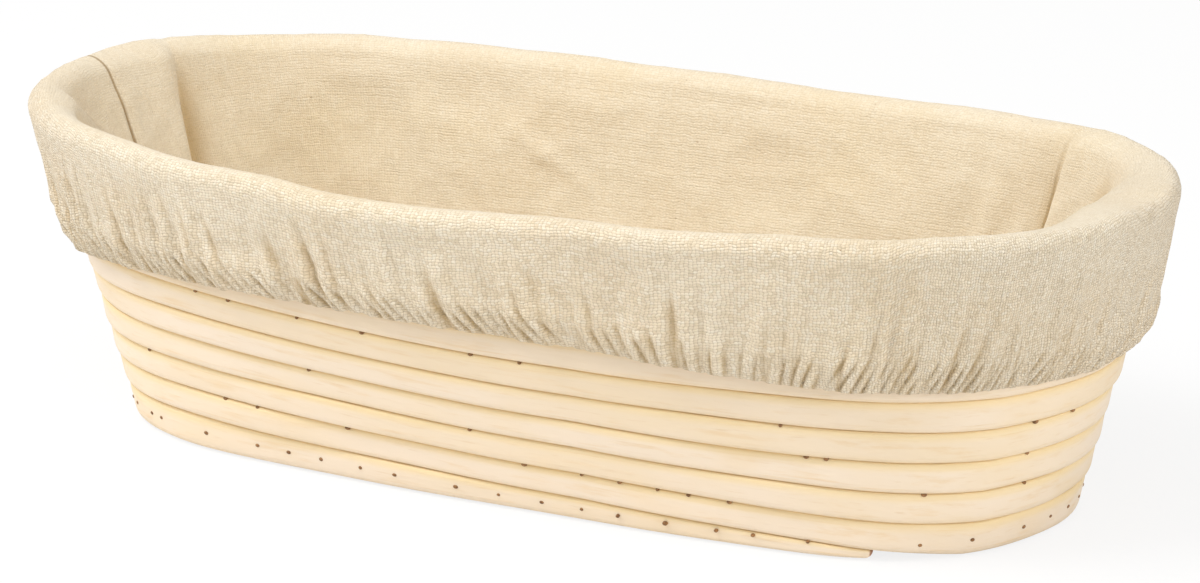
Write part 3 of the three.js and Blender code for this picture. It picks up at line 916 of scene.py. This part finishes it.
CANE_PALE, CANE_CREAM = srgb(246, 228, 205), srgb(243, 222, 190)
CANE_STREAK, CANE_THREAD, CANE_STAIN = srgb(236, 206, 160), srgb(222, 188, 140), srgb(244, 216, 170)
# Painted shade: a warm band at the top of each course under the one above, a darker underside, and darker
# grooves.
CANE_TOP_SHADE, CANE_UNDER_SHADE, CANE_GROOVE_SHADE = srgb(250, 222, 160), srgb(240, 214, 168), srgb(216, 174, 108)
CANE_CUT = srgb(168, 106, 66)


def rattan_material():
    tree = Nodes("rattan")
    edge = tree.value("edge")
    streak = tree.noise(tree.uv("grain", 55.0, 1500.0), 4.0, 0.6)
    thread = tree.noise(tree.uv("grain", 120.0, 4200.0), 2.0, 0.5)
    patch = tree.noise(tree.uv("grain", 16.0, 120.0), 3.0, 0.55)
    stain = tree.noise(tree.spot(26.0, 26.0, 60.0), 3.0, 0.5)
    tree.shade("Base Color", tree.layers(
        tree.mix(tree.ramp(patch, 0.3, 0.7), CANE_PALE, CANE_CREAM),
        (tree.ramp(streak, 0.52, 0.72, 0.0, 0.55), CANE_STREAK),
        (tree.ramp(thread, 0.6, 0.8, 0.0, 0.35), CANE_THREAD),
        (tree.ramp(stain, 0.55, 0.8, 0.0, 0.4), CANE_STAIN),
        # The three layers by the edge map are painted shade at the course tops, the undersides and the
        # grooves.
        (tree.ramp(edge, 0.2, 0.9, 0.0, 0.62), CANE_TOP_SHADE),
        (tree.ramp(edge, -0.6, -1.0, 0.0, 0.35), CANE_UNDER_SHADE),
        (tree.ramp(tree.math("ABSOLUTE", edge), 0.95, 1.0, 0.0, 0.25), CANE_GROOVE_SHADE),
        (tree.ramp(tree.value("cut"), 0.2, 0.9, 0.0, 0.9), CANE_CUT),
    ))
    tree.shade("Roughness", tree.ramp(streak, 0.3, 0.7, 0.5, 0.66))
    tree.shade("Normal", tree.bump(streak, 0.0006, 0.4, tree.bump(thread, 0.0002, 0.35)))
    return tree.material


LINEN_PALE, LINEN_WARM, LINEN_GOLD = srgb(244, 230, 205), srgb(239, 221, 192), srgb(240, 217, 174)
# Painted shade: the cloth inside the basket is a darker copy of the same linen.
LINEN_INSIDE_SHADE = srgb(212, 199, 172)
YARN_LIGHT, YARN_DARK, YARN_DRAWN = srgb(247, 239, 222), srgb(204, 183, 148), srgb(214, 195, 162)
# Painted shade in the pits of the weave; the dark flecks are the yarn's own.
WEAVE_PIT_SHADE, FLECK = srgb(178, 154, 116), srgb(150, 116, 74)
# Painted shade in the hollows and valleys, and painted shadow along the dark fold lines of the darts and the
# right crease.
PAINTED_SHADE, FOLD_SHADOW_TINT = srgb(188, 156, 100), srgb(152, 122, 74)
WARP_PITCH, WEFT_PITCH = 0.00074, 0.00070
YARN_WANDER = 2.2


def linen_material():
    tree = Nodes("linen")
    wander = tree.noise(tree.uv("cloth", 170.0, 420.0), 2.0, 0.6)
    stray = tree.noise(tree.uv("cloth", 420.0, 150.0), 2.0, 0.6)
    across, down = tree.parts(tree.uv("cloth", 1 / WARP_PITCH, 1 / WEFT_PITCH))
    warp = tree.math("ADD", across, tree.math("MULTIPLY", wander, YARN_WANDER))
    weft = tree.math("ADD", down, tree.math("MULTIPLY", stray, YARN_WANDER))
    ends = tree.math("SINE", tree.math("MULTIPLY", warp, math.pi))
    picks = tree.math("SINE", tree.math("MULTIPLY", weft, math.pi))
    over = tree.math("MULTIPLY", ends, picks)
    crowns = tree.math("POWER", tree.math("ABSOLUTE", over), 0.7)
    weave = tree.math("ADD", crowns, tree.math("MULTIPLY", over, 0.2))
    tone = tree.cell(tree.math("FLOOR", warp), tree.math("FLOOR", weft))
    slub_up = tree.noise(tree.uv("cloth", 1250.0, 90.0), 2.0, 0.6)
    slub_across = tree.noise(tree.uv("cloth", 90.0, 1300.0), 2.0, 0.6)
    fleck = tree.noise(tree.uv("cloth", 520.0, 700.0), 2.0, 0.7)
    broad = tree.noise(tree.spot(34.0, 34.0, 34.0), 3.0, 0.55)
    golden = tree.noise(tree.spot(17.0, 17.0, 24.0), 3.0, 0.5)
    outside = tree.value("outside")
    shown = tree.ramp(outside, 0.0, 1.0, 0.4, 1.0)

    def faded(value):
        """The weave shows less inside."""
        return tree.math("MULTIPLY", value, shown)

    golden = tree.ramp(golden, 0.45, 0.7, 0.0, 0.5)
    golden = tree.math("MULTIPLY", golden, tree.ramp(outside, 0.0, 1.0, 1.0, 0.3))
    # Painted shadow: dark lines along the folds of the darts and the right crease.
    shadow_line = tree.ramp(tree.math("ABSOLUTE", tree.value("shadow_line")), 0.2, 0.95, 0.8, 0.0)
    tree.shade("Base Color", tree.layers(
        tree.mix(tree.ramp(broad, 0.3, 0.7), LINEN_PALE, LINEN_WARM),
        (golden, LINEN_GOLD),
        # Painted shade over the cloth inside the basket.
        (tree.ramp(outside, 0.0, 1.0, 0.38, 0.0), LINEN_INSIDE_SHADE),
        (faded(tree.ramp(tone, 0.55, 1.0, 0.0, 0.45)), YARN_LIGHT),
        (faded(tree.ramp(tone, 0.45, 0.0, 0.0, 0.36)), YARN_DARK),
        (faded(tree.ramp(slub_up, 0.52, 0.75, 0.0, 0.4)), YARN_LIGHT),
        (faded(tree.ramp(slub_across, 0.52, 0.75, 0.0, 0.35)), YARN_DRAWN),
        # Painted shade in the pits of the weave.
        (faded(tree.ramp(weave, 0.42, 0.0, 0.0, 0.6)), WEAVE_PIT_SHADE),
        (tree.ramp(fleck, 0.70, 0.78, 0.0, 0.6), FLECK),
        # Painted shade in the creases, the shaded patches and the skirt's valleys.
        (tree.ramp(tree.value("painted_shade"), 0.05, 1.0, 0.0, 0.68), PAINTED_SHADE),
        (tree.math("MULTIPLY", shadow_line, tree.value("fold_shadow")), FOLD_SHADOW_TINT),
    ))
    tree.shade("Roughness", 0.92)
    tree.shade("Sheen Weight", 0.2)
    tree.shade("Sheen Roughness", 0.6)
    tree.shade("Specular IOR Level", 0.2)
    slubs = tree.bump(tree.math("ADD", slub_up, slub_across), 0.0003, 0.6)
    tree.shade("Normal", tree.bump(faded(weave), 0.00032, 0.75, slubs))
    return tree.material


ELASTIC_PALE, ELASTIC_GREY = srgb(238, 234, 224), srgb(214, 208, 194)
NAIL_BROWN, NAIL_DARK = srgb(164, 120, 74), srgb(120, 84, 50)


def elastic_material():
    tree = Nodes("elastic")
    rib = tree.noise(tree.uv("OFBake", 900.0, 14.0), 2.0, 0.5)
    tree.shade("Base Color", tree.mix(tree.ramp(rib, 0.35, 0.65), ELASTIC_PALE, ELASTIC_GREY))
    tree.shade("Roughness", 0.8)
    tree.shade("Normal", tree.bump(rib, 0.0002, 0.6))
    return tree.material


def nail_material():
    tree = Nodes("nail")
    tarnish = tree.noise(tree.spot(900.0, 900.0, 900.0), 3.0, 0.6)
    tree.shade("Base Color", tree.mix(tree.ramp(tarnish, 0.35, 0.65), NAIL_BROWN, NAIL_DARK))
    tree.shade("Metallic", 0.2)
    tree.shade("Roughness", tree.ramp(tarnish, 0.3, 0.7, 0.4, 0.62))
    tree.shade("Normal", tree.bump(tarnish, 0.0001, 0.4))
    return tree.material


rattan = rattan_material()
for piece in (wall, base, core):
    piece.data.materials.append(rattan)
cloth.data.materials.append(linen_material())
band.data.materials.append(elastic_material())
nails.data.materials.append(nail_material())


# Stage: floor, light and camera.
def ray_mask(nodes, links, *kinds):
    """1 for a ray of any of the kinds, else 0."""
    path = nodes.new("ShaderNodeLightPath")
    mask = path.outputs[kinds[0]]
    for kind in kinds[1:]:
        either = nodes.new("ShaderNodeMath")
        either.operation = "MAXIMUM"
        links.new(mask, either.inputs[0])
        links.new(path.outputs[kind], either.inputs[1])
        mask = either.outputs[0]
    return mask


def blend_to_output(nodes, links, part, first, second, kind):
    blend = nodes.new("ShaderNodeMixShader")
    links.new(part, blend.inputs[0])
    links.new(first.outputs[0], blend.inputs[1])
    links.new(second.outputs[0], blend.inputs[2])
    end = nodes.new(kind)
    links.new(blend.outputs[0], end.inputs["Surface"])


# The floor is matt for light and shadow, and mostly glows white to the eye.
FLOOR_GLOW_PART, FLOOR_GLOW = 0.8, 1.03
FLOOR_GREY = (0.8, 0.8, 0.8, 1)
STAGE_SIZE, STAGE_Z = 6.0, -0.0005
bpy.ops.mesh.primitive_plane_add(size=STAGE_SIZE, location=(0, 0, STAGE_Z))
floor = bpy.context.object
floor.name = "floor"
stage, nodes, links = new_material("floor")
nodes.clear()
part = nodes.new("ShaderNodeMath")
part.operation = "MULTIPLY"
part.inputs[1].default_value = FLOOR_GLOW_PART
links.new(ray_mask(nodes, links, "Is Camera Ray", "Is Glossy Ray", "Is Transmission Ray"), part.inputs[0])
matt = nodes.new("ShaderNodeBsdfDiffuse")
matt.inputs["Color"].default_value = FLOOR_GREY
glow = nodes.new("ShaderNodeEmission")
glow.inputs["Strength"].default_value = FLOOR_GLOW
blend_to_output(nodes, links, part.outputs[0], matt, glow, "ShaderNodeOutputMaterial")
floor.data.materials.append(stage)

# Soft light from all round.
SKY_TINT, SKY_STRENGTH = (1.0, 0.99, 0.97, 1), 0.5
world = bpy.data.worlds.new("studio")
bpy.context.scene.world = world
world.use_nodes = True
nodes, links = world.node_tree.nodes, world.node_tree.links
nodes.clear()
soft = nodes.new("ShaderNodeBackground")
soft.inputs["Color"].default_value = SKY_TINT
soft.inputs["Strength"].default_value = SKY_STRENGTH
white = nodes.new("ShaderNodeBackground")
white.inputs["Strength"].default_value = 1.0
seen = ray_mask(nodes, links, "Is Camera Ray", "Is Transmission Ray")
blend_to_output(nodes, links, seen, soft, white, "ShaderNodeOutputWorld")

# Soft boxes that face the basket: name, place and size in metres, power in watts.
LAMP_AIM = Vector((0, 0, 0.04))
LAMPS = (
    ("softbox_key", (-0.55, -0.55, 1.2), (0.8, 0.6), 11.5),
    ("softbox_right", (1.5, -0.4, 0.6), (0.9, 0.8), 8.9),
    ("softbox_top", (0.1, -0.35, 1.3), (0.8, 0.6), 2.6),
    ("softbox_left", (-1.3, -0.6, 0.6), (0.7, 0.7), 4.0),
)
for name, place, size, power in LAMPS:
    light = bpy.data.lights.new(name, "AREA")
    light.shape = "RECTANGLE"
    light.size, light.size_y = size
    light.energy = power
    holder = bpy.data.objects.new(name, light)
    holder.location = place
    holder.rotation_euler = (LAMP_AIM - Vector(place)).to_track_quat("-Z", "Y").to_euler()
    bpy.context.scene.collection.objects.link(holder)

# Camera at the photograph's angle: angles in radians, places in metres, focal length in pixels.
AZIMUTH, ELEVATION, ROLL_ANGLE = 0.50350, 0.30864, -0.016266
AIM = Vector((0.0022177, 0.0024004, 0.0384581))
REACH = 1.15
FOCAL_PX, WIDTH_PX = 4718.4, 1200
SENSOR = 36.0
back = Vector((math.sin(AZIMUTH) * math.cos(ELEVATION), -math.cos(AZIMUTH) * math.cos(ELEVATION),
               math.sin(ELEVATION)))
right = (-back).cross(Vector((0, 0, 1))).normalized()
upright = right.cross(-back)
turned_right = right * math.cos(ROLL_ANGLE) + upright * math.sin(ROLL_ANGLE)
turned_up = upright * math.cos(ROLL_ANGLE) - right * math.sin(ROLL_ANGLE)
place = AIM + back * REACH
camera_data = bpy.data.cameras.new("camera")
camera_data.sensor_fit = "HORIZONTAL"
camera_data.sensor_width = SENSOR
camera_data.lens = FOCAL_PX / WIDTH_PX * SENSOR
camera_data.clip_start = 0.01
camera = bpy.data.objects.new("camera", camera_data)
camera.matrix_world = Matrix((
    (turned_right.x, turned_up.x, back.x, place.x),
    (turned_right.y, turned_up.y, back.y, place.y),
    (turned_right.z, turned_up.z, back.z, place.z),
    (0, 0, 0, 1)))
bpy.context.scene.collection.objects.link(camera)
bpy.context.scene.camera = camera
bpy.context.scene.view_settings.view_transform = "Standard"
